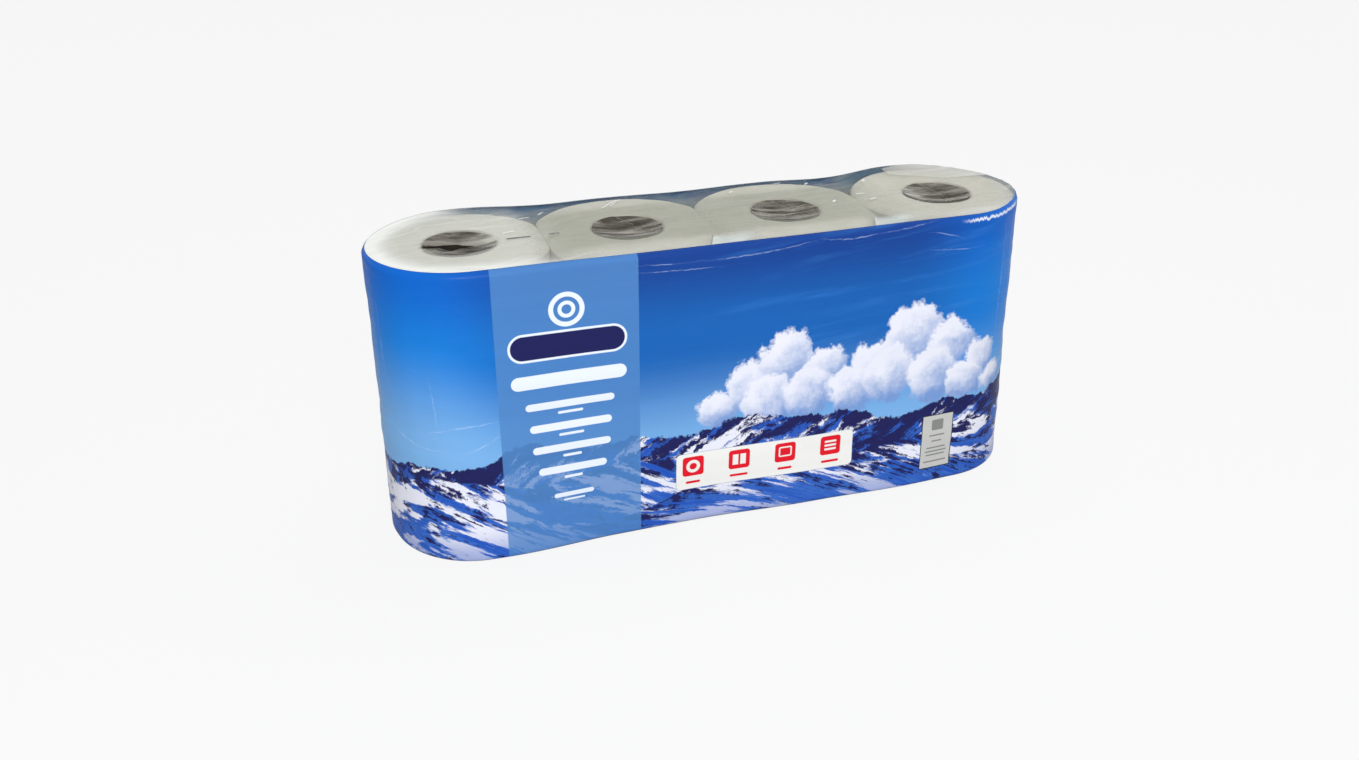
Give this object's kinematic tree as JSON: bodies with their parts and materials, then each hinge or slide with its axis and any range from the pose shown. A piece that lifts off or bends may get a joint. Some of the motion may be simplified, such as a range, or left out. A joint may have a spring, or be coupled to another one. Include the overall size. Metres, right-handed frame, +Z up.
{
  "type": "toilet paper roll pack",
  "caption": "Film-wrapped pack of toilet paper rolls standing on end, in a row and two layers, with printed sides and a clear top.",
  "frame": {"origin": "middle of the pack's box, at the base that it stands on", "axes": "+X along the row of rolls, +Y from the front to the back, +Z up along the cores"},
  "size_m": [0.4366, 0.1146, 0.1946],
  "materials": {
    "printed_film": "thin glossy polyethylene film, printed blue and white round the sides and clear over the ends of the rolls",
    "tissue": "soft matt crepe tissue, tightly wound",
    "core_card": "matt grey-brown recycled card"
  },
  "bodies": {
    "root": {"film_wrapper": "printed_film", "tissue_roll_lower_1": "tissue", "tissue_roll_lower_2": "tissue", "tissue_roll_lower_3": "tissue", "tissue_roll_lower_4": "tissue", "tissue_roll_upper_1": "tissue", "tissue_roll_upper_2": "tissue", "tissue_roll_upper_3": "tissue", "tissue_roll_upper_4": "tissue", "card_core_lower_1": "core_card", "card_core_lower_2": "core_card", "card_core_lower_3": "core_card", "card_core_lower_4": "core_card", "card_core_upper_1": "core_card", "card_core_upper_2": "core_card", "card_core_upper_3": "core_card", "card_core_upper_4": "core_card"}
  },
  "joints": []
}
